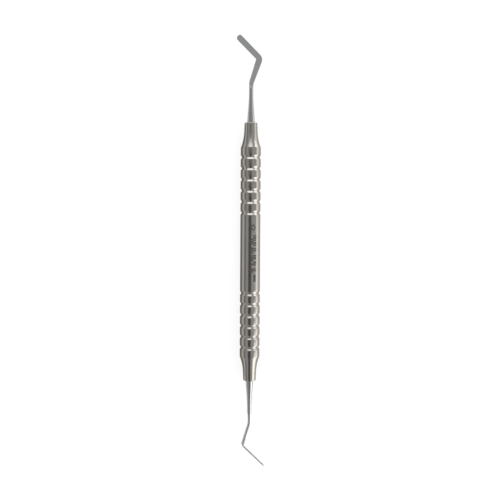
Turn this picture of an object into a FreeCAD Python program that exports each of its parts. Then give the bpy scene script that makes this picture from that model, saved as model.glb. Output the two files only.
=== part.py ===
import FreeCAD, Part
import math
import os
import Sketcher

# A double-ended plastic filling instrument of stainless steel, for dental work: a turned round
# handle with two sets of ring grooves, and two working ends whose tangs are pressed into it.
# The instrument lies along Y, and its bends are in the XY plane. The origin is on the handle's
# axis, in the middle of its plain barrel. The upper blade (+Y) lies flat, with its face towards
# +Z. The lower blade (-Y) is turned a quarter about the handle and stands on its edge.

# Driving dimensions in millimetres and degrees, each written once.
SIZES = [
    ("handle_length", 103.6, "from end face to end face"),
    ("handle_dia", 8.0, "plain barrel"),
    ("neck_end_dia", 5.1, "neck at the end face"),
    ("neck_run", 3.0, "straight run of the neck next to the end face"),
    ("neck_taper", 2.0, "half angle of that run"),
    ("neck_hollow_radius", 20.5, "concave curve from the neck towards the barrel"),
    ("shoulder_radius", 2.0, "convex curve into the barrel"),
    ("end_chamfer", 0.3, "outer rim of the end face"),
    ("ring_count", 6, "ring grooves in each set"),
    ("ring_first", 16.15, "from the middle of the handle to the nearest ring groove"),
    ("ring_pitch", 4.4, "from ring groove to ring groove"),
    ("ring_depth", 0.44, "below the barrel"),
    ("ring_flank_angle", 30.0, "between a flank and the handle's axis"),
    ("ring_root_radius", 0.35, "rounded bottom of a ring groove"),
    ("ring_lip_radius", 0.5, "rounded lip of a ring groove"),
    ("tang_dia", 3.05, "tang, and the shank where it leaves the handle"),
    ("tang_length", 12.0, "pressed into the handle's bore, down to its floor"),
    ("tang_chamfer", 0.3, "lead-in at the tang's inner end"),
    ("bore_countersink", 0.22, "at the mouth of the bore"),
    ("shank_dia", 1.64, "parallel end of the shank"),
    ("shank_taper_length", 13.0, "from the handle's end face to the parallel end"),
    ("shank_blend_radius", 90.0, "curve between the cone and the parallel end"),
    ("flat_gap", 0.3, "round length between there and the flats"),
    ("flat_run", 1.2, "from where the shank flattens to the full flats"),
    ("flat_thick", 1.0, "across the full flats"),
    ("bend_radius", 5.0, "centre line of the first bend"),
    ("flare_wide", 1.96, "width after the first bend"),
    ("flare_thick", 0.8, "thickness after the first bend"),
    ("flare_bulge", 0.2, "rounding of its edges, out from its flats"),
    ("strip_wide", 2.5, "width before the elbow"),
    ("strip_thick", 0.6, "thickness before the elbow"),
    ("strip_bulge", 0.15, "rounding of its edges, out from its flats"),
    ("blade_wide", 2.42, "width after the elbow"),
    ("blade_thick", 0.4, "thickness after the elbow"),
    ("blade_bulge", 0.1, "rounding of its edges, out from its flats"),
    ("tip_wide", 2.46, "width at the tip"),
    ("tip_thick", 0.3, "thickness at the tip"),
    ("tip_bulge", 0.08, "rounding of its edges, out from its flats"),
    ("tip_radius", 1.28, "rounded outline of the tip"),
    ("upper_straight", 0.2, "from the full flats to the first bend"),
    ("upper_lean", 19.2, "strip against the handle's axis"),
    ("upper_strip", 10.31, "corner to corner, first bend to elbow"),
    ("upper_elbow_radius", 1.55, "centre line of the elbow, bent across its width"),
    ("upper_blade_angle", 46.8, "blade against the handle's axis"),
    ("upper_blade", 12.2, "from the elbow's corner to the tip"),
    ("lower_straight", 2.58, "from the full flats to the first bend"),
    ("lower_lean", 17.7, "strip against the handle's axis"),
    ("lower_strip", 9.33, "corner to corner, first bend to elbow"),
    ("lower_elbow_radius", 0.95, "centre line of the elbow, bent across its thickness"),
    ("lower_blade_angle", 44.6, "blade against the handle's axis"),
    ("lower_blade", 12.87, "from the elbow's corner to the tip"),
]

doc = FreeCAD.newDocument("filling_instrument")
sheet = doc.addObject("Spreadsheet::Sheet", "sizes")
for row, (name, number, note) in enumerate(SIZES, start=1):
    sheet.set("A%d" % row, name)
    sheet.set("B%d" % row, str(number))
    sheet.set("C%d" % row, note)
    sheet.setAlias("B%d" % row, name)
doc.recompute()


class Size:
    """A size worked out from the sheet: its number now, and the expression that keeps it so."""

    def __init__(self, number, text):
        self.number = number
        self.text = text

    def __add__(self, other):
        other = as_size(other)
        return Size(self.number + other.number, "(%s + %s)" % (self.text, other.text))

    def __sub__(self, other):
        other = as_size(other)
        return Size(self.number - other.number, "(%s - %s)" % (self.text, other.text))

    def __mul__(self, other):
        other = as_size(other)
        return Size(self.number * other.number, "(%s * %s)" % (self.text, other.text))

    def __truediv__(self, other):
        other = as_size(other)
        return Size(self.number / other.number, "(%s / %s)" % (self.text, other.text))

    def __neg__(self):
        return Size(-self.number, "(0 - %s)" % self.text)


def as_size(item):
    return item if isinstance(item, Size) else Size(float(item), "%r" % item)


def sine(angle):
    return Size(math.sin(math.radians(angle.number)), "sin(%s * 1 deg)" % angle.text)


def cosine(angle):
    return Size(math.cos(math.radians(angle.number)), "cos(%s * 1 deg)" % angle.text)


def tangent(angle):
    return Size(math.tan(math.radians(angle.number)), "tan(%s * 1 deg)" % angle.text)


def square_root(area):
    return Size(math.sqrt(area.number), "sqrt(%s)" % area.text)


dims = {name: Size(float(number), "sizes." + name) for name, number, note in SIZES}

ALONG_Z = FreeCAD.Vector(0, 0, 1)
ABOUT_LOCAL_Y = FreeCAD.Vector(0, 1, 0)
START_INDEX = 1
END_INDEX = 2
CENTRE_INDEX = 3
ORIGIN_POINT = (-1, 1)
H_AXIS_INDEX = -1
V_AXIS_INDEX = -2


def origin_feature(body, role):
    return next(item for item in body.Origin.OriginFeatures if item.Role == role)


def new_sketch(body, name, role):
    sketch = body.newObject("Sketcher::SketchObject", name)
    sketch.AttachmentSupport = [(origin_feature(body, role), "")]
    sketch.MapMode = "FlatFace"
    return sketch


def bind(item, path, size):
    item.setExpression(path, size.text)


class Pen:
    """Draws one outline in a sketch. A coordinate given as a Size is bound to it, and a bare
    number is a first guess that tangents and radii settle."""

    def __init__(self, sketch, x, y):
        self.sketch = sketch
        self.start = (x, y)
        self.here = (x, y)
        self.edges = []

    def line(self, x, y, smooth=False):
        """A straight edge to x, y, in line with the edge before it where smooth."""
        a, b = point_of(*self.here), point_of(x, y)
        index = self.sketch.addGeometry(Part.LineSegment(a, b), False)
        self.add(index, START_INDEX, END_INDEX, x, y, smooth)
        return index

    def arc(self, centre_x, centre_y, radius, x, y, turns_left, smooth=False):
        """A round edge to x, y, whose radius is bound."""
        centre = point_of(centre_x, centre_y)
        a, b = point_of(*self.here), point_of(x, y)
        if not turns_left:
            a, b = b, a
        from_angle = math.atan2(a.y - centre.y, a.x - centre.x)
        to_angle = math.atan2(b.y - centre.y, b.x - centre.x)
        if to_angle < from_angle:
            to_angle += 2 * math.pi
        circle = Part.Circle(centre, ALONG_Z, radius.number)
        index = self.sketch.addGeometry(Part.ArcOfCircle(circle, from_angle, to_angle), False)
        ends = (START_INDEX, END_INDEX) if turns_left else (END_INDEX, START_INDEX)
        self.add(index, ends[0], ends[1], x, y, smooth)
        dimension(self.sketch, radius, "Radius", index)
        if isinstance(centre_x, Size):
            dimension(self.sketch, centre_x, "DistanceX", *ORIGIN_POINT, index, CENTRE_INDEX)
        if isinstance(centre_y, Size):
            dimension(self.sketch, centre_y, "DistanceY", *ORIGIN_POINT, index, CENTRE_INDEX)
        return index

    def add(self, index, near, far, x, y, smooth):
        if not self.edges:
            place(self.sketch, index, near, self.start)
        else:
            before, before_near, before_far = self.edges[-1]
            kind = "Tangent" if smooth else "Coincident"
            self.sketch.addConstraint(Sketcher.Constraint(kind, before, before_far, index, near))
        if (x, y) == self.start:
            first, first_near, first_far = self.edges[0]
            self.sketch.addConstraint(
                Sketcher.Constraint("Coincident", index, far, first, first_near))
        else:
            place(self.sketch, index, far, (x, y))
        self.edges.append((index, near, far))
        self.here = (x, y)

    def close(self):
        return self.line(*self.start)


def point_of(x, y):
    return FreeCAD.Vector(as_size(x).number, as_size(y).number, 0)


def dimension(sketch, size, kind, *references):
    """One driving dimension, bound to the sheet."""
    index = sketch.addConstraint(Sketcher.Constraint(kind, *references, size.number))
    bind(sketch, "Constraints[%d]" % index, size)


def place(sketch, index, end, where):
    """Fixes one end of an edge in each direction in which its coordinate is a Size or 0."""
    for kind, axis, coordinate in (("DistanceX", V_AXIS_INDEX, where[0]),
                                   ("DistanceY", H_AXIS_INDEX, where[1])):
        if isinstance(coordinate, Size):
            dimension(sketch, coordinate, kind, *ORIGIN_POINT, index, end)
        elif coordinate == 0:
            sketch.addConstraint(Sketcher.Constraint("PointOnObject", index, end, axis))


def turned(body, kind, name, sketch):
    """A full turn of a half profile about the sketch's vertical axis."""
    feature = body.newObject(kind, name)
    feature.Profile = sketch
    feature.ReferenceAxis = (sketch, ["V_Axis"])
    feature.Angle = 360
    body.Tip = feature
    return feature


def make_handle():
    """The turned handle: half of it is built, then mirrored."""
    body = doc.addObject("PartDesign::Body", "handle")
    body.Label = "handle"
    half = dims["handle_length"] / 2
    radius = dims["handle_dia"] / 2
    chamfer = dims["end_chamfer"]
    end_radius = dims["neck_end_dia"] / 2
    taper = dims["neck_taper"]
    hollow = dims["neck_hollow_radius"]
    shoulder = dims["shoulder_radius"]

    run_top = half - chamfer
    run_foot_x = end_radius + dims["neck_run"] * sine(taper)
    run_foot_y = run_top - dims["neck_run"] * cosine(taper)
    hollow_x = (run_foot_x + hollow * cosine(taper)).number
    hollow_y = (run_foot_y + hollow * sine(taper)).number
    shoulder_x = (radius - shoulder).number
    both = (hollow + shoulder).number
    steepest = math.acos((hollow_x - shoulder_x) / both)
    shoulder_y = hollow_y - both * math.sin(steepest)
    meet_x = shoulder_x + shoulder.number * math.cos(steepest)
    meet_y = shoulder_y + shoulder.number * math.sin(steepest)

    sketch = new_sketch(body, "half_profile", "XY_Plane")
    pen = Pen(sketch, 0, 0)
    pen.line(radius, 0)
    pen.line(radius, shoulder_y)
    pen.arc(shoulder_x, shoulder_y, shoulder, meet_x, meet_y, True, smooth=True)
    pen.arc(hollow_x, hollow_y, hollow, run_foot_x, run_foot_y, False, smooth=True)
    pen.line(end_radius, run_top)
    pen.line(end_radius - chamfer, half)
    pen.line(0, half)
    pen.close()
    turned(body, "PartDesign::Revolution", "turned_half", sketch)

    bore_radius = dims["tang_dia"] / 2
    sketch = new_sketch(body, "bore_profile", "XY_Plane")
    pen = Pen(sketch, 0, half - dims["tang_length"])
    pen.line(bore_radius, half - dims["tang_length"])
    pen.line(bore_radius, half - dims["bore_countersink"])
    pen.line(bore_radius + dims["bore_countersink"], half)
    pen.line(0, half)
    pen.close()
    turned(body, "PartDesign::Groove", "bore", sketch)

    first_ring = ring_groove(body, radius)
    pattern = body.newObject("PartDesign::LinearPattern", "ring_set")
    pattern.Originals = [first_ring]
    pattern.Direction = (origin_feature(body, "Y_Axis"), [""])
    pattern.Mode = "Spacing"
    bind(pattern, "Offset", dims["ring_pitch"])
    bind(pattern, "Occurrences", dims["ring_count"])
    body.Tip = pattern

    mirrored = body.newObject("PartDesign::Mirrored", "both_halves")
    mirrored.TransformMode = "Whole shape"
    mirrored.MirrorPlane = (origin_feature(body, "XZ_Plane"), [""])
    body.Tip = mirrored
    return body


def ring_groove(body, radius):
    """One ring groove: a rounded bottom, two straight flanks and two rounded lips."""
    centre = dims["ring_first"]
    root = dims["ring_root_radius"]
    lip = dims["ring_lip_radius"]
    flank = dims["ring_flank_angle"]
    floor = radius - dims["ring_depth"]
    half_wide = ((root + lip) * (as_size(1) - cosine(flank))
                 + dims["ring_depth"] * cosine(flank)) / sine(flank)
    root_x = floor + root * (as_size(1) - cosine(flank))
    root_y = root * sine(flank)
    lip_x = radius - lip * (as_size(1) - cosine(flank))
    lip_y = half_wide - lip * sine(flank)
    outside = radius + lip

    sketch = new_sketch(body, "ring_profile", "XY_Plane")
    pen = Pen(sketch, outside, centre - half_wide)
    pen.line(radius, centre - half_wide)
    lip_centre = (radius - lip).number
    pen.arc(lip_centre, (centre - half_wide).number, lip, lip_x, centre - lip_y, True)
    pen.line(root_x, centre - root_y)
    pen.arc((floor + root).number, centre.number, root, root_x, centre + root_y, False)
    pen.line(lip_x, centre + lip_y)
    pen.arc(lip_centre, (centre + half_wide).number, lip, radius, centre + half_wide, True)
    pen.line(outside, centre + half_wide)
    pen.close()
    return turned(body, "PartDesign::Groove", "first_ring", sketch)


def station_sketch(body, name, x, y, heading):
    """A sketch square to the path at x, y. Its own x runs across the path within the plane of
    the bends, and its own y is the body's Z. The heading is the path's turn from +Y, degrees."""
    sketch = new_sketch(body, name, "XZ_Plane")
    turn = FreeCAD.Rotation(ABOUT_LOCAL_Y, heading.number)
    base = FreeCAD.Vector(as_size(x).number, 0, -y.number)
    sketch.AttachmentOffset = FreeCAD.Placement(base, turn)
    bind(sketch, "AttachmentOffset.Base.x", as_size(x))
    bind(sketch, "AttachmentOffset.Base.z", -y)
    bind(sketch, "AttachmentOffset.Rotation.Angle", heading)
    return sketch


def flat_section(sketch, wide, thick, bulge, face_on):
    """A pressed section: two flats, joined by two rounded edges. Its width lies across the
    path in the plane of the bends where face_on, and along Z where not."""
    side = wide / 2 - bulge
    level = thick / 2
    radius = (level * level + bulge * bulge) / (bulge * 2)
    middle = (wide / 2 - radius).number
    if face_on:
        pen = Pen(sketch, side, -level)
        pen.arc(middle, 0, radius, side, level, True)
        pen.line(-side, level)
        pen.arc(-middle, 0, radius, -side, -level, True)
        pen.close()
    else:
        pen = Pen(sketch, level, -side)
        pen.line(level, side)
        pen.arc(0, middle, radius, -level, side, True)
        pen.line(-level, -side)
        pen.arc(0, -middle, radius, level, -side, True)


def make_working_end(label, side, face_on):
    """One working end, on its own axes: the handle's end face is at y = 0, the tang reaches
    into -Y, and the tool reaches into +Y with its strip leaning to +X."""
    body = doc.addObject("PartDesign::Body", label)
    body.Label = label
    lean = dims[side + "_lean"]
    elbow_radius = dims[side + "_elbow_radius"]
    blade_angle = dims[side + "_blade_angle"]
    bend_radius = dims["bend_radius"]
    shank_radius = dims["shank_dia"] / 2
    flat_start = dims["shank_taper_length"] + dims["flat_gap"]
    flat_full = flat_start + dims["flat_run"]

    turned_shank(body, shank_radius, flat_full)
    press_flats(body, shank_radius, flat_start, flat_full, face_on)

    bend_y = flat_full + dims[side + "_straight"]
    bend_out_x = bend_radius * (as_size(1) - cosine(lean))
    bend_out_y = bend_y + bend_radius * sine(lean)
    corner_y = bend_y + bend_radius * tangent(lean / 2)
    elbow_reach = elbow_radius * tangent((lean + blade_angle) / 2)
    elbow_x = dims[side + "_strip"] * sine(lean)
    elbow_y = corner_y + dims[side + "_strip"] * cosine(lean)
    elbow_in_x = elbow_x - elbow_reach * sine(lean)
    elbow_in_y = elbow_y - elbow_reach * cosine(lean)
    elbow_out_x = elbow_x - elbow_reach * sine(blade_angle)
    elbow_out_y = elbow_y + elbow_reach * cosine(blade_angle)
    tip_x = elbow_x - dims[side + "_blade"] * sine(blade_angle)
    tip_y = elbow_y + dims[side + "_blade"] * cosine(blade_angle)

    bend_path = new_sketch(body, "bend_path", "XY_Plane")
    pen = Pen(bend_path, 0, flat_full)
    pen.line(0, bend_y)
    pen.arc(bend_radius.number, bend_y.number, bend_radius, bend_out_x, bend_out_y, False)

    strip_path = new_sketch(body, "strip_path", "XY_Plane")
    Pen(strip_path, bend_out_x, bend_out_y).line(elbow_in_x, elbow_in_y)

    elbow_path = new_sketch(body, "elbow_path", "XY_Plane")
    pen = Pen(elbow_path, elbow_in_x, elbow_in_y)
    centre_x = elbow_in_x - elbow_radius * cosine(lean)
    centre_y = elbow_in_y + elbow_radius * sine(lean)
    pen.arc(centre_x.number, centre_y.number, elbow_radius, elbow_out_x, elbow_out_y, True)

    half_thick = dims["flat_thick"] / 2
    pressed_bulge = shank_radius - square_root(
        shank_radius * shank_radius - half_thick * half_thick)
    bend_root = station_sketch(body, "bend_root", 0, flat_full, as_size(0))
    flat_section(bend_root, dims["shank_dia"], dims["flat_thick"], pressed_bulge, face_on)
    flare = station_sketch(body, "flare", bend_out_x, bend_out_y, -lean)
    flat_section(flare, dims["flare_wide"], dims["flare_thick"], dims["flare_bulge"], face_on)
    strip_end = station_sketch(body, "strip_end", elbow_in_x, elbow_in_y, -lean)
    flat_section(strip_end, dims["strip_wide"], dims["strip_thick"], dims["strip_bulge"], face_on)
    blade_root = station_sketch(body, "blade_root", elbow_out_x, elbow_out_y, blade_angle)
    flat_section(blade_root, dims["blade_wide"], dims["blade_thick"], dims["blade_bulge"], face_on)
    blade_end = station_sketch(body, "blade_end", tip_x, tip_y, blade_angle)
    flat_section(blade_end, dims["tip_wide"], dims["tip_thick"], dims["tip_bulge"], face_on)
    doc.recompute()

    swept(body, "bend", bend_root, flare, bend_path)
    swept(body, "strip", flare, strip_end, strip_path)
    swept(body, "elbow", strip_end, blade_root, elbow_path)
    blade = body.newObject("PartDesign::AdditiveLoft", "blade")
    blade.Profile = blade_root
    blade.Sections = [(blade_end, "")]
    blade.Ruled = True
    body.Tip = blade
    doc.recompute()
    round_tip(body, tip_x, tip_y, blade_angle, face_on)
    return body


def turned_shank(body, shank_radius, end):
    """Tang, cone and parallel end, turned from one rod."""
    tang_radius = dims["tang_dia"] / 2
    chamfer = dims["tang_chamfer"]
    inner_end = -dims["tang_length"]
    blend = dims["shank_blend_radius"]
    taper_end = dims["shank_taper_length"]
    # The cone's line runs from the tang's rim and touches the blend circle.
    centre_x = (shank_radius + blend).number
    across = centre_x - tang_radius.number
    distance = math.hypot(across, taper_end.number)
    slope = math.atan2(taper_end.number, across) - math.acos(blend.number / distance)
    touch_x = centre_x - blend.number * math.cos(slope)
    touch_y = taper_end.number - blend.number * math.sin(slope)

    sketch = new_sketch(body, "shank_profile", "XY_Plane")
    pen = Pen(sketch, 0, inner_end)
    pen.line(tang_radius - chamfer, inner_end)
    pen.line(tang_radius, inner_end + chamfer)
    pen.line(tang_radius, 0)
    pen.line(touch_x, touch_y)
    pen.arc(centre_x, taper_end.number, blend, shank_radius, taper_end, False, smooth=True)
    pen.line(shank_radius, end, smooth=True)
    pen.line(0, end)
    pen.close()
    turned(body, "PartDesign::Revolution", "shank", sketch)


def press_flats(body, shank_radius, start, full, face_on):
    """Two slanting flats that run out on the round shank."""
    level = dims["flat_thick"] / 2
    outside = dims["shank_dia"]
    if face_on:
        sketch = new_sketch(body, "flats_profile", "YZ_Plane")
    else:
        sketch = new_sketch(body, "flats_profile", "XY_Plane")
    for sign in (1, -1):
        corners = [(start, shank_radius), (full, level), (full, outside), (start, outside)]
        corners = [(along, off if sign > 0 else -off) for along, off in corners]
        if not face_on:
            corners = [(off, along) for along, off in corners]
        pen = Pen(sketch, *corners[0])
        for corner in corners[1:]:
            pen.line(*corner)
        pen.close()
    doc.recompute()
    pocket = body.newObject("PartDesign::Pocket", "flats")
    pocket.Profile = sketch
    pocket.SideType = "Symmetric"
    bind(pocket, "Length", dims["shank_dia"] * 2)
    body.Tip = pocket


def swept(body, name, first, last, path):
    """A section that changes from first to last along a path."""
    pipe = body.newObject("PartDesign::AdditivePipe", name)
    pipe.Profile = first
    pipe.Spine = (path, [""])
    pipe.Transformation = "Multisection"
    pipe.Sections = [(last, "")]
    pipe.Mode = "Binormal"
    pipe.Binormal = ALONG_Z
    body.Tip = pipe
    doc.recompute()


def round_tip(body, tip_x, tip_y, blade_angle, face_on):
    """Cuts the blade's end to a rounded outline, square to its face."""
    radius = dims["tip_radius"]
    margin = dims["blade_wide"]
    if face_on:
        sketch = new_sketch(body, "tip_outline", "XY_Plane")
        turn = FreeCAD.Rotation(ALONG_Z, blade_angle.number)
        base = point_of(tip_x, tip_y)
        base_paths = (("AttachmentOffset.Base.x", tip_x), ("AttachmentOffset.Base.y", tip_y))
    else:
        sketch = new_sketch(body, "tip_outline", "YZ_Plane")
        turn = FreeCAD.Rotation(ABOUT_LOCAL_Y, blade_angle.number)
        base = FreeCAD.Vector(tip_y.number, 0, tip_x.number)
        base_paths = (("AttachmentOffset.Base.x", tip_y), ("AttachmentOffset.Base.z", tip_x))
    sketch.AttachmentOffset = FreeCAD.Placement(base, turn)
    for path, size in base_paths:
        bind(sketch, path, size)
    bind(sketch, "AttachmentOffset.Rotation.Angle", blade_angle)
    if face_on:
        pen = Pen(sketch, radius, -radius)
        pen.arc(0, -radius, radius, -radius.number, -radius, True)
        pen.line(-margin, -radius)
        pen.line(-margin, margin)
        pen.line(margin, margin)
        pen.line(margin, -radius)
    else:
        pen = Pen(sketch, -radius, -radius)
        pen.arc(-radius, 0, radius, -radius, radius.number, True)
        pen.line(-radius, margin)
        pen.line(margin, margin)
        pen.line(margin, -margin)
        pen.line(-radius, -margin)
    pen.close()
    doc.recompute()
    pocket = body.newObject("PartDesign::Pocket", "tip")
    pocket.Profile = sketch
    pocket.SideType = "Symmetric"
    bind(pocket, "Length", dims["blade_wide"])
    body.Tip = pocket


handle = make_handle()
upper = make_working_end("upper_working_end", "upper", True)
lower = make_working_end("lower_working_end", "lower", False)
half_length = dims["handle_length"] / 2
bind(upper, "Placement.Base.y", half_length)
lower.Placement = FreeCAD.Placement(FreeCAD.Vector(), FreeCAD.Rotation(ALONG_Z, 180))
bind(lower, "Placement.Base.y", -half_length)
doc.recompute()

pieces = [handle, upper, lower]
for item in doc.Objects:
    if "Invalid" in item.State or "Error" in item.State:
        raise SystemExit("%s is not right: %s" % (item.Name, item.State))
for piece in pieces:
    if piece.Shape.isNull() or not piece.Shape.isValid() or len(piece.Shape.Solids) != 1:
        raise SystemExit("%s is not one sound solid" % piece.Label)

os.makedirs("parts", exist_ok=True)
for piece in pieces:
    piece.Shape.exportStep("parts/%s.step" % piece.Label)
    box = piece.Shape.optimalBoundingBox(False)
    print("%s: %.1f mm3, x %.2f to %.2f, y %.2f to %.2f, z %.2f to %.2f" % (
        piece.Label, piece.Shape.Volume, box.XMin, box.XMax, box.YMin, box.YMax,
        box.ZMin, box.ZMax))
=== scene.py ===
# %% [markdown]
# A double-ended filling instrument for dental work, in steel. It has a turned round handle with two sets
# of ring grooves, and two thin bent tools whose tangs are pressed into the handle's ends. The CAD frame
# gives the true sizes and places. This lesson gives the three pieces a finer surface and a real finish,
# and then sets up the camera and the light of a product picture. Lengths are in metres, and the handle
# lies along Y.

import math

import bmesh
import bpy
from mathutils import Matrix, Vector


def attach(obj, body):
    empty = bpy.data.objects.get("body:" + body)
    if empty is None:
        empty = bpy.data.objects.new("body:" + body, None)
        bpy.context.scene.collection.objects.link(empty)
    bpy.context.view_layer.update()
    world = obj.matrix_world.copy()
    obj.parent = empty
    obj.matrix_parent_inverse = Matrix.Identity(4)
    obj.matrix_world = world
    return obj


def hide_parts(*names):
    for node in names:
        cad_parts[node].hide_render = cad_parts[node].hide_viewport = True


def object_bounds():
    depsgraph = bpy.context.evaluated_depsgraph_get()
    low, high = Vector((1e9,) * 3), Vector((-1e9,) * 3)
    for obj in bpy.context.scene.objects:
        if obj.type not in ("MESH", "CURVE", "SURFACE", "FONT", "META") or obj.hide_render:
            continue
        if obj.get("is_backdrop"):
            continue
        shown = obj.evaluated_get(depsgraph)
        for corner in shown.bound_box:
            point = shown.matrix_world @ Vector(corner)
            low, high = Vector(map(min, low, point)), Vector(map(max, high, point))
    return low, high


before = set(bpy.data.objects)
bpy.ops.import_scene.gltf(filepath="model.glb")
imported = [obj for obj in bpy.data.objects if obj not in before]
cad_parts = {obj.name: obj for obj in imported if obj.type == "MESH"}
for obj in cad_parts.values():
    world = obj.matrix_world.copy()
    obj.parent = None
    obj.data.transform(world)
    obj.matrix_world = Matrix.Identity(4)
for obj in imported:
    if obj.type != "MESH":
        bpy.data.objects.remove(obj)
cad_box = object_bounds()
MM = 0.001
print("CAD nodes:", sorted(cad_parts))

# %% [markdown]
# Camera. The picture looks down on the instrument from about 275 mm, which shows in how the ring grooves
# and the rims of the handle's ends curve. The camera sits a little up the handle from its middle and
# looks back down at it. It also stands off to the left, turned 12 degrees about the handle, because the
# picture shows a sliver of the lower strip's left face. The handle is round, so only the tools show this.

# %% Set the camera
CAMERA_PLACE = Vector((-0.07, 19.2, 275.0)) * MM
CAMERA_TILT = math.radians(-3.74)
CAMERA_ROLL = math.radians(0.36)
LENS_MM = 49.41
VIEW_TURN = Matrix.Rotation(math.radians(-12.0), 3, "Y")

bpy.ops.object.camera_add(location=VIEW_TURN @ CAMERA_PLACE)
camera = bpy.context.object
camera.name = "camera"
camera.rotation_euler = (VIEW_TURN @ Matrix.Rotation(CAMERA_TILT, 3, "X")
                         @ Matrix.Rotation(CAMERA_ROLL, 3, "Z")).to_euler()
camera.data.lens = LENS_MM
camera.data.sensor_width = 36.0
camera.data.clip_start = 0.01
bpy.context.scene.camera = camera
print("camera at", [round(c / MM, 1) for c in camera.location], "mm")

# %% [markdown]
# Helpers. An operator acts on all that is selected, so everything is let go before a new piece starts.
# A material is a node tree, and `node` adds one node to it and sets its values in one line.

# %% Helpers for objects and nodes
def let_go():
    bpy.ops.object.select_all(action="DESELECT")


def new_material(name):
    """An empty steel-like material: its tree, and its surface shader."""
    material = bpy.data.materials.new(name)
    material.use_nodes = True
    return material, material.node_tree, material.node_tree.nodes["Principled BSDF"]


def node(tree, kind, inputs=None, **settings):
    """Adds a node. Inputs are numbers, colours, or the outputs of other nodes."""
    made = tree.nodes.new(kind)
    for key, value in settings.items():
        setattr(made, key, value)
    for key, value in (inputs or {}).items():
        if isinstance(value, bpy.types.NodeSocket):
            tree.links.new(value, made.inputs[key])
        else:
            made.inputs[key].default_value = value
    return made


# %% [markdown]
# Steel. What makes steel look like steel is its reflections, so the colour stays grey and the work goes
# into the fine marks of the tool that cut it. On a lathe those marks run round the axis: noise that
# changes only along Y draws them. The same noise, at two scales, moves the colour, the roughness and
# a shallow bump. Painting the marks on an image would be another way, but noise in object coordinates
# needs no image and has no seam.

# %% Turned steel for the handle
HANDLE_COLOUR = (0.348, 0.332, 0.310)


def turned_steel():
    material, tree, shader = new_material("turned_steel")
    shader.inputs["Metallic"].default_value = 1.0
    shader.inputs["Anisotropic"].default_value = 0.6
    shader.inputs["Anisotropic Rotation"].default_value = 0.25
    shader.inputs["Specular Tint"].default_value = (0.62, 0.6, 0.56, 1.0)
    place = node(tree, "ShaderNodeTexCoord").outputs["Object"]
    rings = node(tree, "ShaderNodeMapping", {"Vector": place, "Scale": (0.0, 1.0, 0.0)})
    fine = node(tree, "ShaderNodeTexNoise", {"Vector": rings.outputs[0], "Scale": 9000.0,
                                             "Detail": 3.0, "Roughness": 0.6})
    broad = node(tree, "ShaderNodeTexNoise", {"Vector": rings.outputs[0], "Scale": 900.0,
                                              "Detail": 2.0})
    cloud = node(tree, "ShaderNodeTexNoise", {"Vector": place, "Scale": 120.0, "Detail": 4.0})
    shade = node(tree, "ShaderNodeMapRange", {"Value": fine.outputs["Fac"], "From Min": 0.3,
                                              "From Max": 0.7, "To Min": 0.93, "To Max": 1.05})
    spots = node(tree, "ShaderNodeMapRange", {"Value": cloud.outputs["Fac"], "From Min": 0.3,
                                              "From Max": 0.7, "To Min": 0.97, "To Max": 1.03})
    both = node(tree, "ShaderNodeMath", {0: shade.outputs["Result"], 1: spots.outputs["Result"]},
                operation="MULTIPLY")
    colour = node(tree, "ShaderNodeVectorMath", {0: HANDLE_COLOUR}, operation="SCALE")
    tree.links.new(both.outputs[0], colour.inputs["Scale"])
    tree.links.new(colour.outputs[0], shader.inputs["Base Color"])
    rough = node(tree, "ShaderNodeMapRange", {"Value": broad.outputs["Fac"], "From Min": 0.3,
                                              "From Max": 0.7, "To Min": 0.17, "To Max": 0.23})
    tree.links.new(rough.outputs["Result"], shader.inputs["Roughness"])
    bump = node(tree, "ShaderNodeBump", {"Height": fine.outputs["Fac"], "Strength": 0.25,
                                         "Distance": 0.02 * MM})
    tree.links.new(bump.outputs[0], shader.inputs["Normal"])
    tangent = node(tree, "ShaderNodeTangent", direction_type="RADIAL", axis="Y")
    tree.links.new(tangent.outputs[0], shader.inputs["Tangent"])
    return material


handle_steel = turned_steel()

# %% [markdown]
# The tools are ground, not turned: a belt leaves short fine scratches that run with the blade, and a
# satin face that blurs what it reflects. The noise is stretched along the tool, and a second, rounder
# noise varies the polish.

# %% Ground steel for the tools
TOOL_COLOUR = (0.405, 0.408, 0.414)


def ground_steel():
    material, tree, shader = new_material("ground_steel")
    shader.inputs["Metallic"].default_value = 1.0
    shader.inputs["Specular Tint"].default_value = (0.7, 0.7, 0.7, 1.0)
    place = node(tree, "ShaderNodeTexCoord").outputs["Object"]
    along = node(tree, "ShaderNodeMapping", {"Vector": place, "Scale": (1.0, 0.18, 1.0)})
    scratch = node(tree, "ShaderNodeTexNoise", {"Vector": along.outputs[0], "Scale": 6000.0,
                                                "Detail": 3.0, "Roughness": 0.65})
    cloud = node(tree, "ShaderNodeTexNoise", {"Vector": place, "Scale": 350.0, "Detail": 3.0})
    shade = node(tree, "ShaderNodeMapRange", {"Value": scratch.outputs["Fac"], "From Min": 0.3,
                                              "From Max": 0.7, "To Min": 0.92, "To Max": 1.06})
    colour = node(tree, "ShaderNodeVectorMath", {0: TOOL_COLOUR}, operation="SCALE")
    tree.links.new(shade.outputs["Result"], colour.inputs["Scale"])
    tree.links.new(colour.outputs[0], shader.inputs["Base Color"])
    rough = node(tree, "ShaderNodeMapRange", {"Value": cloud.outputs["Fac"], "From Min": 0.3,
                                              "From Max": 0.7, "To Min": 0.13, "To Max": 0.19})
    tree.links.new(rough.outputs["Result"], shader.inputs["Roughness"])
    bump = node(tree, "ShaderNodeBump", {"Height": scratch.outputs["Fac"], "Strength": 0.2,
                                         "Distance": 0.01 * MM})
    tree.links.new(bump.outputs[0], shader.inputs["Normal"])
    return material


tool_steel = ground_steel()

# %% [markdown]
# The marking on the barrel is etched: the acid leaves a dark matt skin and takes no depth that shows.
# So it is a second material on faces of the barrel itself.

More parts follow.
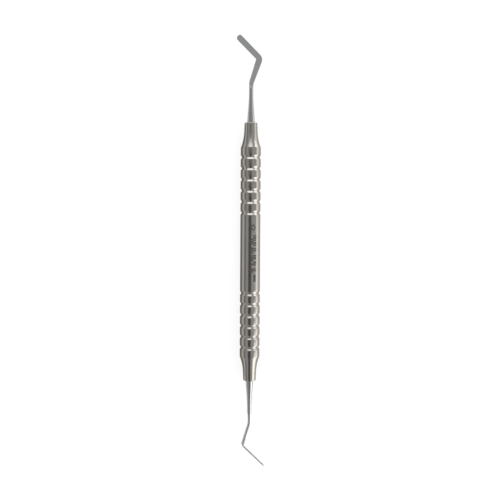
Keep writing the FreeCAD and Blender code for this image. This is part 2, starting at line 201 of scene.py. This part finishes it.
# %% Etched steel
def etched_steel():
    material, tree, shader = new_material("etched_steel")
    shader.inputs["Metallic"].default_value = 0.6
    shader.inputs["Roughness"].default_value = 0.6
    place = node(tree, "ShaderNodeTexCoord").outputs["Object"]
    grain = node(tree, "ShaderNodeTexNoise", {"Vector": place, "Scale": 9000.0, "Detail": 2.0})
    shade = node(tree, "ShaderNodeMapRange", {"Value": grain.outputs["Fac"], "From Min": 0.3,
                                              "From Max": 0.7, "To Min": 0.8, "To Max": 1.2})
    colour = node(tree, "ShaderNodeVectorMath", {0: (0.075, 0.07, 0.062)}, operation="SCALE")
    tree.links.new(shade.outputs["Result"], colour.inputs["Scale"])
    tree.links.new(colour.outputs[0], shader.inputs["Base Color"])
    return material


etched = etched_steel()

# %% [markdown]
# The handle is turned on a lathe, and Spin is Blender's lathe. One point is extruded from station to
# station along half of the outline, the outline is mirrored, and one full turn makes the skin. The
# profile starts at the floor of the bore, so that the hole is real and the skin is closed.

# %% The handle's outline
HALF_LENGTH = 51.8
HANDLE_RADIUS = 4.0
END_RADIUS = 2.55
END_CHAMFER = 0.3
NECK_RUN = 3.0
NECK_TAPER = math.radians(2.0)
HOLLOW_RADIUS = 20.5
SHOULDER_RADIUS = 2.0
TANG_RADIUS = 1.525
TANG_LENGTH = 12.0
COUNTERSINK = 0.22
RING_CENTRES = [16.15 + 4.4 * count for count in range(6)]
RING_DEPTH = 0.44
RING_FLANK = math.radians(30.0)
RING_ROOT = 0.35
RING_LIP = 0.5


def arc(centre, radius, start, end, steps):
    """Points on an arc, in mm, from one angle to another, both included."""
    angles = [start + (end - start) * step / steps for step in range(steps + 1)]
    return [(centre[0] + radius * math.cos(a), centre[1] + radius * math.sin(a)) for a in angles]


def ring_groove(centre):
    """Outline of one ring groove, outwards along the handle: radius and place, in mm."""
    half_wide = ((RING_ROOT + RING_LIP) * (1 - math.cos(RING_FLANK))
                 + RING_DEPTH * math.cos(RING_FLANK)) / math.sin(RING_FLANK)
    lip = HANDLE_RADIUS - RING_LIP
    floor = HANDLE_RADIUS - RING_DEPTH + RING_ROOT
    near = arc((lip, centre - half_wide), RING_LIP, 0.0, RING_FLANK, 4)
    root = arc((floor, centre), RING_ROOT, math.pi + RING_FLANK, math.pi - RING_FLANK, 6)
    far = arc((lip, centre + half_wide), RING_LIP, -RING_FLANK, 0.0, 4)
    return near + root + far


def neck():
    """Outline from the barrel's shoulder to the rim of the end face, in mm."""
    run_top = HALF_LENGTH - END_CHAMFER
    foot = (END_RADIUS + NECK_RUN * math.sin(NECK_TAPER), run_top - NECK_RUN * math.cos(NECK_TAPER))
    hollow = (foot[0] + HOLLOW_RADIUS * math.cos(NECK_TAPER),
              foot[1] + HOLLOW_RADIUS * math.sin(NECK_TAPER))
    shoulder_x = HANDLE_RADIUS - SHOULDER_RADIUS
    both = HOLLOW_RADIUS + SHOULDER_RADIUS
    slope = math.acos((hollow[0] - shoulder_x) / both)
    shoulder = (shoulder_x, hollow[1] - both * math.sin(slope))
    steps = arc(shoulder, SHOULDER_RADIUS, 0.0, slope, 8)
    steps += arc(hollow, HOLLOW_RADIUS, math.pi + slope, math.pi + NECK_TAPER, 18)[1:]
    steps += [(END_RADIUS + 0.02, run_top - 0.5), (END_RADIUS, run_top)]
    steps += arc((END_RADIUS - END_CHAMFER, run_top), END_CHAMFER, 0.0, math.pi / 2, 5)[1:]
    return steps


def half_outline(marks):
    """From the middle of the barrel to the bore's floor on the axis, in mm."""
    points = [(HANDLE_RADIUS, y) for y in marks]
    for centre in RING_CENTRES:
        points += ring_groove(centre)
    points += neck()
    points += [(TANG_RADIUS + COUNTERSINK, HALF_LENGTH), (TANG_RADIUS, HALF_LENGTH - COUNTERSINK),
               (TANG_RADIUS, HALF_LENGTH - TANG_LENGTH), (0.0, HALF_LENGTH - TANG_LENGTH)]
    return points


# %% [markdown]
# The marking is two rows of plain dashes, a plain bar and a small plain lozenge. Each dash needs an edge
# loop at both ends, so the places of the dashes are settled before the outline is drawn. The lengths
# of the dashes vary a little, as letters and gaps do from a few steps away.

# %% Places of the etched dashes
UPPER_ROW = [(7.3, 5.2), (4.6, 2.9), (2.3, 0.2), (-0.5, -2.7), (-3.2, -5.2), (-5.8, -7.6)]
LOWER_ROW = [(5.9, 3.0), (2.4, 0.0), (-0.6, -3.3), (-3.9, -5.4), (-6.0, -7.6)]
BAR = (-8.4, -11.2)
LOZENGE = (11.8, 9.0)
DASH_LONG = (0.55, 0.72, 0.48, 0.66, 0.8, 0.5)
DASH_GAP = 0.22


def dashes(row):
    """Cuts each word of a row into dashes of uneven length."""
    cut = []
    for word, (top, foot) in enumerate(row):
        place, count = top, word
        while place - DASH_LONG[count % 6] >= foot - 0.1:
            cut.append((place, place - DASH_LONG[count % 6]))
            place -= DASH_LONG[count % 6] + DASH_GAP
            count += 1
    return cut


upper_dashes = dashes(UPPER_ROW)
lower_dashes = dashes(LOWER_ROW)
print("dashes:", len(upper_dashes), "and", len(lower_dashes))

# %% Turn the handle
AROUND = 144


def turn_handle():
    edges = {y for pair in upper_dashes + lower_dashes + [BAR] for y in pair}
    edges |= {LOZENGE[0] - 0.35 * step for step in range(9)}
    edges |= {1.5 * step for step in range(-9, 10)}
    loops = []
    for y in sorted(edges):
        if not loops or y - loops[-1] > 0.04:
            loops.append(y)
    upper = half_outline([y for y in loops if y >= 0])
    lower = [(x, -y) for x, y in half_outline([-y for y in reversed(loops) if y < 0])]
    outline = list(reversed(lower)) + upper
    let_go()
    bpy.ops.mesh.primitive_plane_add(size=MM, location=(0, outline[0][1] * MM, 0))
    handle = bpy.context.object
    handle.name = "turned_handle"
    bpy.ops.object.mode_set(mode="EDIT")
    bpy.ops.mesh.merge(type="CENTER")
    for here, there in zip(outline, outline[1:]):
        step = ((there[0] - here[0]) * MM, (there[1] - here[1]) * MM, 0)
        bpy.ops.mesh.extrude_region_move(TRANSFORM_OT_translate={"value": step})
    bpy.ops.mesh.select_all(action="SELECT")
    bpy.ops.mesh.spin(steps=AROUND, angle=2 * math.pi, center=(0, 0, 0), axis=(0, 1, 0))
    bpy.ops.mesh.select_all(action="SELECT")
    bpy.ops.mesh.remove_doubles(threshold=0.0005 * MM)
    bpy.ops.mesh.normals_make_consistent(inside=False)
    bpy.ops.object.mode_set(mode="OBJECT")
    bpy.ops.object.transform_apply(location=True, rotation=True, scale=True)
    bpy.ops.object.shade_smooth_by_angle(angle=math.radians(32))
    return handle


turned_handle = turn_handle()
print("handle:", len(turned_handle.data.polygons), "faces")

# %% [markdown]
# The dashes are faces of the barrel that get the etched material. Each is picked by the place of its
# middle: how far along the handle, and at what angle from the top of the barrel.

# %% Etch the dashes
ROW_ANGLES = {"near": (-13.8, 3.8), "far": (6.2, 23.8), "bar": (8.7, 21.3)}
LOZENGE_ANGLE = 5.0


def etch(handle):
    handle.data.materials.append(handle_steel)
    handle.data.materials.append(etched)
    count = 0
    for face in handle.data.polygons:
        middle = face.center / MM
        angle = math.degrees(math.atan2(middle.x, middle.z))
        if middle.z < 0 or abs(middle.y) > 13:
            continue
        found = False
        for pairs, (low, high) in ((upper_dashes, ROW_ANGLES["far"]), (lower_dashes, ROW_ANGLES["near"]),
                                   ([BAR], ROW_ANGLES["bar"])):
            if low < angle < high and any(foot < middle.y < top for top, foot in pairs):
                found = True
        off_side = abs(angle - LOZENGE_ANGLE) / 17.5
        off_along = abs(middle.y - (LOZENGE[0] + LOZENGE[1]) / 2) / 1.4
        if 0.55 < off_side + off_along < 1.0:
            found = True
        if found:
            face.material_index = 1
            count += 1
    return count


print("etched faces:", etch(turned_handle))

# %% [markdown]
# Each tool starts as a straight blank, as a toolmaker's does: a rod is turned to a tang and a taper, its
# end is pressed flat, and then the strip and the blade are bent in a jig. Here a ring of points is
# extruded from station to station and scaled at each, the rings of the pressed part are flattened, and
# at last everything beyond a ring is turned about that ring, a few degrees at a time, to bend it.

# %% Sizes of the tools
SHANK_RADIUS = 0.82
TAPER_END = 13.0
BLEND_RADIUS = 90.0
FLAT_START = 13.3
FLAT_FULL = 14.5
FLAT_THICK = 1.0
BEND_RADIUS = 5.0
FLARE = (1.96, 0.8)
STRIP_END = (2.5, 0.6)
BLADE_ROOT = (2.42, 0.4)
BLADE_TIP = (2.46, 0.3)
TIP_RADIUS = 1.28
ROUND = 48


def taper():
    """The shank's cone and its blend into the parallel end: place and radius, in mm."""
    centre_x = SHANK_RADIUS + BLEND_RADIUS
    across = centre_x - TANG_RADIUS
    slope = math.atan2(TAPER_END, across) - math.acos(BLEND_RADIUS / math.hypot(across, TAPER_END))
    touch = (TAPER_END - BLEND_RADIUS * math.sin(slope), centre_x - BLEND_RADIUS * math.cos(slope))
    curve = [slope * (1 - step / 8) for step in range(1, 9)]
    blend = [(TAPER_END - BLEND_RADIUS * math.sin(a), centre_x - BLEND_RADIUS * math.cos(a))
             for a in curve]
    cone = [(touch[0] * part / 6, TANG_RADIUS + (touch[1] - TANG_RADIUS) * part / 6)
            for part in range(1, 7)]
    return cone + blend


# %% [markdown]
# A ring is round where the rod is round. On the pressed part its points above and below the flats are
# moved onto them, which leaves two flats joined by two round edges, as a press does.

# %% Helpers for the blank
def grow(points, wide=1.0, thick=1.0, face_on=True, at=0.0):
    """Extrudes the selected ring by a step along Y, then scales it across and through."""
    bpy.ops.mesh.extrude_region_move(TRANSFORM_OT_translate={"value": (0, points * MM, 0)})
    scale = (wide, 1, thick) if face_on else (thick, 1, wide)
    bpy.ops.transform.resize(value=scale, center_override=(0, at * MM, 0))


def ring_points(tool, number):
    mesh = bmesh.from_edit_mesh(tool.data)
    mesh.verts.ensure_lookup_table()
    return mesh, mesh.verts[number * ROUND:(number + 1) * ROUND]


def ring_middle(tool, number):
    mesh, points = ring_points(tool, number)
    return sum((point.co for point in points), Vector()) / len(points)


def select_beyond(tool, number):
    """Selects a ring and all that comes after it."""
    mesh = bmesh.from_edit_mesh(tool.data)
    for point in mesh.verts:
        point.select_set(point.index >= number * ROUND)
    mesh.select_flush_mode()
    bmesh.update_edit_mesh(tool.data)


# %% [markdown]
# The blank is a list of stations along the tool: first the rod, then the pressed strip, the elbow and
# the blade. Width and thickness run straight from one named section to the next. At the tip both
# fall off on a round outline.

# %% Stations of the pressed part
def pressed_stations(straight, lean, strip, elbow_radius, blade_angle, blade):
    """Place, width and thickness of each ring, and how many rings each bend and gap has."""
    first_reach = BEND_RADIUS * math.tan(lean / 2)
    elbow_reach = elbow_radius * math.tan((lean + blade_angle) / 2)
    bend_start = FLAT_FULL + straight
    bend_end = bend_start + BEND_RADIUS * lean
    elbow_start = bend_end + strip - first_reach - elbow_reach
    elbow_end = elbow_start + elbow_radius * (lean + blade_angle)
    end = elbow_end + blade - elbow_reach
    first = [bend_start + (bend_end - bend_start) * step / 6 for step in range(7)]
    gap = [bend_end + (elbow_start - bend_end) * step / 8 for step in range(1, 8)]
    second = [elbow_start + (elbow_end - elbow_start) * step / 14 for step in range(15)]
    rest = [elbow_end + (end - TIP_RADIUS - elbow_end) * step / 10 for step in range(1, 11)]
    tip = [end - TIP_RADIUS * (1 - math.sin(math.radians(angle)))
           for angle in (12, 24, 35, 45, 54, 62, 69, 75, 80, 84.5)]
    sections = [(FLAT_FULL, 2 * SHANK_RADIUS, FLAT_THICK), (bend_end, *FLARE),
                (elbow_start, *STRIP_END), (elbow_end, *BLADE_ROOT), (end, *BLADE_TIP)]
    stations = []
    for place in first + gap + second + rest + tip:
        before, after = next((a, b) for a, b in zip(sections, sections[1:]) if place <= b[0])
        part = (place - before[0]) / (after[0] - before[0])
        wide, thick = (before[i] + (after[i] - before[i]) * part for i in (1, 2))
        left = end - place
        if left < TIP_RADIUS:
            wide = min(wide, 2 * math.sqrt(TIP_RADIUS ** 2 - (TIP_RADIUS - left) ** 2))
            thick *= min(1.0, (left / 0.12 + 0.35) ** 0.5 if left < 0.078 else 1.0)
        stations.append((place, wide, thick))
    return stations, len(first), len(gap), len(second), end


# %% Make a tool
def make_tool(name, face_on, straight, lean, strip, elbow_radius, blade_angle, blade):
    lean, blade_angle = math.radians(lean), math.radians(blade_angle)
    rod = [(-TANG_LENGTH, TANG_RADIUS - 0.3), (-TANG_LENGTH + 0.3, TANG_RADIUS), (-0.25, TANG_RADIUS),
           (0.0, TANG_RADIUS)]
    rod += taper() + [(FLAT_START + (FLAT_FULL - FLAT_START) * step / 6, SHANK_RADIUS) for step in range(7)]
    let_go()
    bpy.ops.mesh.primitive_circle_add(vertices=ROUND, radius=rod[0][1] * MM, fill_type="NOTHING",
                                      location=(0, rod[0][0] * MM, 0), rotation=(math.pi / 2, 0, 0))
    tool = bpy.context.object
    tool.name = name
    bpy.ops.object.transform_apply(location=True, rotation=True, scale=True)
    bpy.ops.object.mode_set(mode="EDIT")
    bpy.ops.mesh.select_all(action="SELECT")
    for here, there in zip(rod, rod[1:]):
        grow(there[0] - here[0], there[1] / here[1], there[1] / here[1], face_on, there[0])
    press(tool, len(rod), face_on)
    stations, first, gap, second, end = pressed_stations(straight, lean, strip, elbow_radius,
                                                         blade_angle, blade)
    place, wide, thick = FLAT_FULL, 2 * SHANK_RADIUS, FLAT_THICK
    for there, there_wide, there_thick in stations:
        grow(there - place, there_wide / wide, there_thick / thick, face_on, there)
        place, wide, thick = there, there_wide, there_thick
    bpy.ops.mesh.extrude_region_move(TRANSFORM_OT_translate={"value": (0, (end - place) * MM, 0)})
    bpy.ops.mesh.merge(type="CENTER")
    square_edges(tool, len(rod), len(stations), face_on)
    bend(tool, len(rod), first, -lean)
    bend(tool, len(rod) + first + gap, second, lean + blade_angle)
    close_tang(tool)
    return tool


# %% [markdown]
# Pressing. Over the last rings of the rod the flats sink in on a slant, until they are at the
# full depth. Points outside a flat are scaled to nothing through the tool, about that flat's level.

# %% Press the flats
def press(tool, rings, face_on):
    direction = 2 if face_on else 0
    depth = SHANK_RADIUS - FLAT_THICK / 2
    levels = {rings - 7 + step: SHANK_RADIUS - depth * step / 6 for step in range(1, 7)}
    for number, level in levels.items():
        for side in (1, -1):
            mesh, points = ring_points(tool, number)
            for point in mesh.verts:
                point.select_set(False)
            chosen = [point for point in points if side * point.co[direction] > level * MM]
            for point in chosen:
                point.select_set(True)
            mesh.select_flush_mode()
            bmesh.update_edit_mesh(tool.data)
            centre = Vector((0, points[0].co.y, 0))
            centre[direction] = side * level * MM
            scale = (1, 1, 0) if face_on else (0, 1, 1)
            bpy.ops.transform.resize(value=scale, center_override=centre)
    select_beyond(tool, rings - 1)


# %% [markdown]
# A pressed section has wider flats as it gets thinner. The corner points of the flats are moved outwards
# ring by ring, by scaling the points of both flats across.

# %% Square up the pressed sections
CORNER_SHARE = ((0.0, 0.83), (0.122, 0.8), (0.286, 0.88), (0.571, 0.91), (1.0, 0.93))


def square_edges(tool, start, count, face_on):
    across, through = (0, 2) if face_on else (2, 0)
    for number in range(start, start + count):
        part = (number - start) / count
        share = next(a[1] + (b[1] - a[1]) * (part - a[0]) / (b[0] - a[0])
                     for a, b in zip(CORNER_SHARE, CORNER_SHARE[1:]) if a[0] <= part <= b[0])
        mesh, points = ring_points(tool, number)
        level = max(abs(point.co[through]) for point in points)
        half = max(abs(point.co[across]) for point in points)
        flat = [point for point in points if abs(abs(point.co[through]) - level) < 0.002 * MM]
        corner = max(abs(point.co[across]) for point in flat)
        for point in mesh.verts:
            point.select_set(False)
        for point in flat:
            point.select_set(True)
        mesh.select_flush_mode()
        bmesh.update_edit_mesh(tool.data)
        scale = [1.0, 1.0, 1.0]
        scale[across] = share * half / corner
        bpy.ops.transform.resize(value=scale, center_override=(0, points[0].co.y, 0))


# %% [markdown]
# Bending. All beyond a ring turns about the middle of that ring. The ring itself takes half of the turn,
# so that it stays square to the bend, like a mitre.

# %% Bend the blank
TURNS_BACK = -1.0


def bend(tool, start, count, angle):
    step = angle / (count - 1)
    for offset in range(count):
        share = 0.5 if offset in (0, count - 1) else 1.0
        middle = ring_middle(tool, start + offset)
        for first_ring in (start + offset, start + offset + 1):
            select_beyond(tool, first_ring)
            bpy.ops.transform.rotate(value=TURNS_BACK * step * share / 2, orient_axis="Z",
                                     center_override=middle)


def close_tang(tool):
    mesh = bmesh.from_edit_mesh(tool.data)
    for point in mesh.verts:
        point.select_set(point.index < ROUND)
    mesh.select_flush_mode()
    bmesh.update_edit_mesh(tool.data)
    bpy.ops.mesh.edge_face_add()
    bpy.ops.mesh.select_all(action="SELECT")
    bpy.ops.mesh.normals_make_consistent(inside=False)
    bpy.ops.object.mode_set(mode="OBJECT")


def seat(tool, half_turn):
    """Puts the tool at its end of the handle."""
    bpy.ops.object.mode_set(mode="EDIT")
    bpy.ops.mesh.select_all(action="SELECT")
    bpy.ops.transform.translate(value=(0, HALF_LENGTH * MM, 0))
    if half_turn:
        bpy.ops.transform.rotate(value=math.pi, orient_axis="Z", center_override=(0, 0, 0))
    bpy.ops.object.mode_set(mode="OBJECT")
    bpy.ops.object.shade_smooth_by_angle(angle=math.radians(30))
    tool.data.materials.append(tool_steel)


upper_tool = make_tool("upper_tool", True, 0.2, 19.2, 10.31, 1.55, 46.8, 12.2)
seat(upper_tool, False)
lower_tool = make_tool("lower_tool", False, 2.58, 17.7, 9.33, 0.95, 44.6, 12.87)
seat(lower_tool, True)
for tool in (upper_tool, lower_tool):
    low = [min(v.co[i] for v in tool.data.vertices) / MM for i in range(3)]
    high = [max(v.co[i] for v in tool.data.vertices) / MM for i in range(3)]
    print(tool.name, len(tool.data.polygons), "faces", [round(c, 2) for c in low + high])

# %% [markdown]
# Each new piece stands for its CAD node, which is hidden, and rides on the one body that the instrument
# has.
# The hidden node is given the same steel as its piece.

# %% Tie the pieces to the frame
for piece, stands_for, finish in ((turned_handle, "handle", "handle_steel"),
                                  (upper_tool, "upper_working_end", "tool_steel"),
                                  (lower_tool, "lower_working_end", "tool_steel")):
    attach(piece, "root")
    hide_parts(stands_for)
    node_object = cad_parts[stands_for]
    node_object.data.materials.clear()
    node_object.data.materials.append(handle_steel if finish == "handle_steel" else tool_steel)

# %% [markdown]
# The floor is a plain pale sheet under the handle. It is mostly white by itself, for the camera and for
# what metal mirrors, and the rest is a matt surface that takes the object's soft shadow.

# %% Lay the floor
FLOOR_LEVEL = -4.0 * MM
SHADOW_SHARE = 0.18

let_go()
bpy.ops.mesh.primitive_plane_add(size=8.0, location=(0, 0, FLOOR_LEVEL))
floor = bpy.context.object
floor.name = "floor"
floor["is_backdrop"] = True


def pale_floor():
    material, tree, shader = new_material("pale_floor")
    shader.inputs["Base Color"].default_value = (0.95, 0.95, 0.95, 1.0)
    shader.inputs["Roughness"].default_value = 1.0
    shader.inputs["Specular IOR Level"].default_value = 0.0
    white = node(tree, "ShaderNodeEmission", {"Color": (1, 1, 1, 1), "Strength": 1.0})
    path = node(tree, "ShaderNodeLightPath")
    seen = node(tree, "ShaderNodeMath", {0: path.outputs["Is Camera Ray"],
                                         1: path.outputs["Is Glossy Ray"]}, operation="MAXIMUM")
    seen = node(tree, "ShaderNodeMath", {0: seen.outputs[0], 1: path.outputs["Is Transmission Ray"]},
                operation="MAXIMUM")
    share = node(tree, "ShaderNodeMath", {0: seen.outputs[0], 1: 1.0 - SHADOW_SHARE},
                 operation="MULTIPLY")
    mix = node(tree, "ShaderNodeMixShader", {0: share.outputs[0], 1: shader.outputs[0],
                                             2: white.outputs[0]})
    tree.links.new(mix.outputs[0], tree.nodes["Material Output"].inputs["Surface"])
    return material


floor.data.materials.append(pale_floor())

# %% [markdown]
# Light. A cylinder of polished metal shows the room as stripes along its length, so the light is what
# draws it. A pale room, a long soft box low on the right, a second one beyond the upper end, and
# a dark card overhead, where a photographer stands, give the stripes of the picture. A grey strip on
# the floor beside the handle, seen only in reflections, is painted shadow: it stands for the floor's shade
# there.

# %% Room, soft boxes and card
world = bpy.data.worlds.new("pale_room")
world.use_nodes = True
bpy.context.scene.world = world
world.node_tree.nodes["Background"].inputs["Color"].default_value = (0.98, 0.99, 1.0, 1.0)
world.node_tree.nodes["Background"].inputs["Strength"].default_value = 0.66


def soft_box(name, place, size, brightness, colour=(1.0, 1.0, 1.0), aim=(0, 0, 0)):
    """A rectangular lamp. Places are in millimetres, as the camera sees them: x to the right, y up the
    picture, z towards the camera. Brightness is what a mirror would show of it."""
    wide, high = size[0] * MM, size[1] * MM
    turn = (Vector(aim) - Vector(place)).to_track_quat("-Z", "Y").to_matrix()
    bpy.ops.object.light_add(type="AREA", location=VIEW_TURN @ Vector(place) * MM,
                             rotation=(VIEW_TURN @ turn).to_euler())
    lamp = bpy.context.object
    lamp.name = name
    lamp.data.shape = "RECTANGLE"
    lamp.data.size, lamp.data.size_y = wide, high
    lamp.data.energy = brightness * math.pi * wide * high
    lamp.data.color = colour
    lamp.visible_camera = False
    return lamp


WARM = (1.0, 0.98, 0.93)
RIGHT_PANES = ((-900, -150, 350, 2.3), (-150, -50, 160, 1.35), (-50, 300, 160, 1.05),
               (300, 700, 280, 2.4))
RIGHT_FOOT = -90
FAR_PANES = ((100, 330, 530, 2.1), (330, 560, 430, 1.5), (560, 760, 330, 0.8))

for count, (start, end, top, brightness) in enumerate(RIGHT_PANES):
    middle = (start + end) / 2
    soft_box(f"right_pane_{count}", (451, middle, (RIGHT_FOOT + top) / 2),
             (end - start, top - RIGHT_FOOT), brightness, WARM, aim=(0, middle, (RIGHT_FOOT + top) / 2))
for count, (foot, top, wide, brightness) in enumerate(FAR_PANES):
    middle = (foot + top) / 2
    soft_box(f"far_pane_{count}", (-20, 480, middle), (wide, top - foot), brightness,
             aim=(-20, 0, middle))
table_light = soft_box("table_light", (0, 0, 900), (1400, 1400), 0.8)
table_light.visible_glossy = False


def card(name, place, size, grey, painted_shadow_on_floor=False):
    """A matt card that only reflections see. It faces the handle, or lies flat on the floor, where it is
    painted shadow: a grey sheet for the floor's shade beside the handle.
    """
    view = Matrix.Identity(3) if painted_shadow_on_floor else VIEW_TURN
    turn = Matrix.Identity(3) if painted_shadow_on_floor else Matrix.Rotation(math.atan2(place[0], place[2]), 3, "Y")
    let_go()
    bpy.ops.mesh.primitive_plane_add(size=1.0, location=view @ Vector(place) * MM)
    made = bpy.context.object
    made.name = name
    made.scale = (size[0] * MM, size[1] * MM, 1.0)
    made.rotation_euler = (view @ turn).to_euler()
    bpy.ops.object.transform_apply(location=False, rotation=True, scale=True)
    made.visible_camera = False
    made.visible_diffuse = False
    made.visible_shadow = False
    made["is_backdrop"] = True
    material, tree, shader = new_material(name)
    shader.inputs["Base Color"].default_value = (0, 0, 0, 1)
    shader.inputs["Specular IOR Level"].default_value = 0.0
    shader.inputs["Emission Color"].default_value = (grey, grey * 0.97, grey * 0.93, 1.0)
    shader.inputs["Emission Strength"].default_value = 1.0
    made.data.materials.append(material)


card("overhead_card", (-28, -429, 430), (265, 982), 0.15)
card("upper_card", (-60, 150, 430), (380, 170), 0.42)
card("left_card", (-413, -20, 230), (183, 1000), 0.4)
# Painted shadow: a grey strip lying on the floor just left of the handle, seen only in reflections, stands
# for the floor's shade beside the handle.
card("painted_shadow_floor_card", (-10.2, 0, -3.9), (11.2, 106), 0.43, painted_shadow_on_floor=True)

# %% [markdown]
# The picture's tones are kept as they are: the Standard view shows a white of 1 as white. The sizes of
# the CAD box and of the finished model are written side by side, because Blender changes the looks
# and never the size.

# %% Keep the tones, write the sizes, finish
bpy.context.scene.view_settings.view_transform = "Standard"
visual_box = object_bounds()


def plain(box):
    return [list(corner) if hasattr(corner, "__len__") else corner for corner in box]


{"cad": plain(cad_box), "visual": plain(visual_box)}
print("CAD box:", plain(cad_box))
print("visual box:", plain(visual_box))
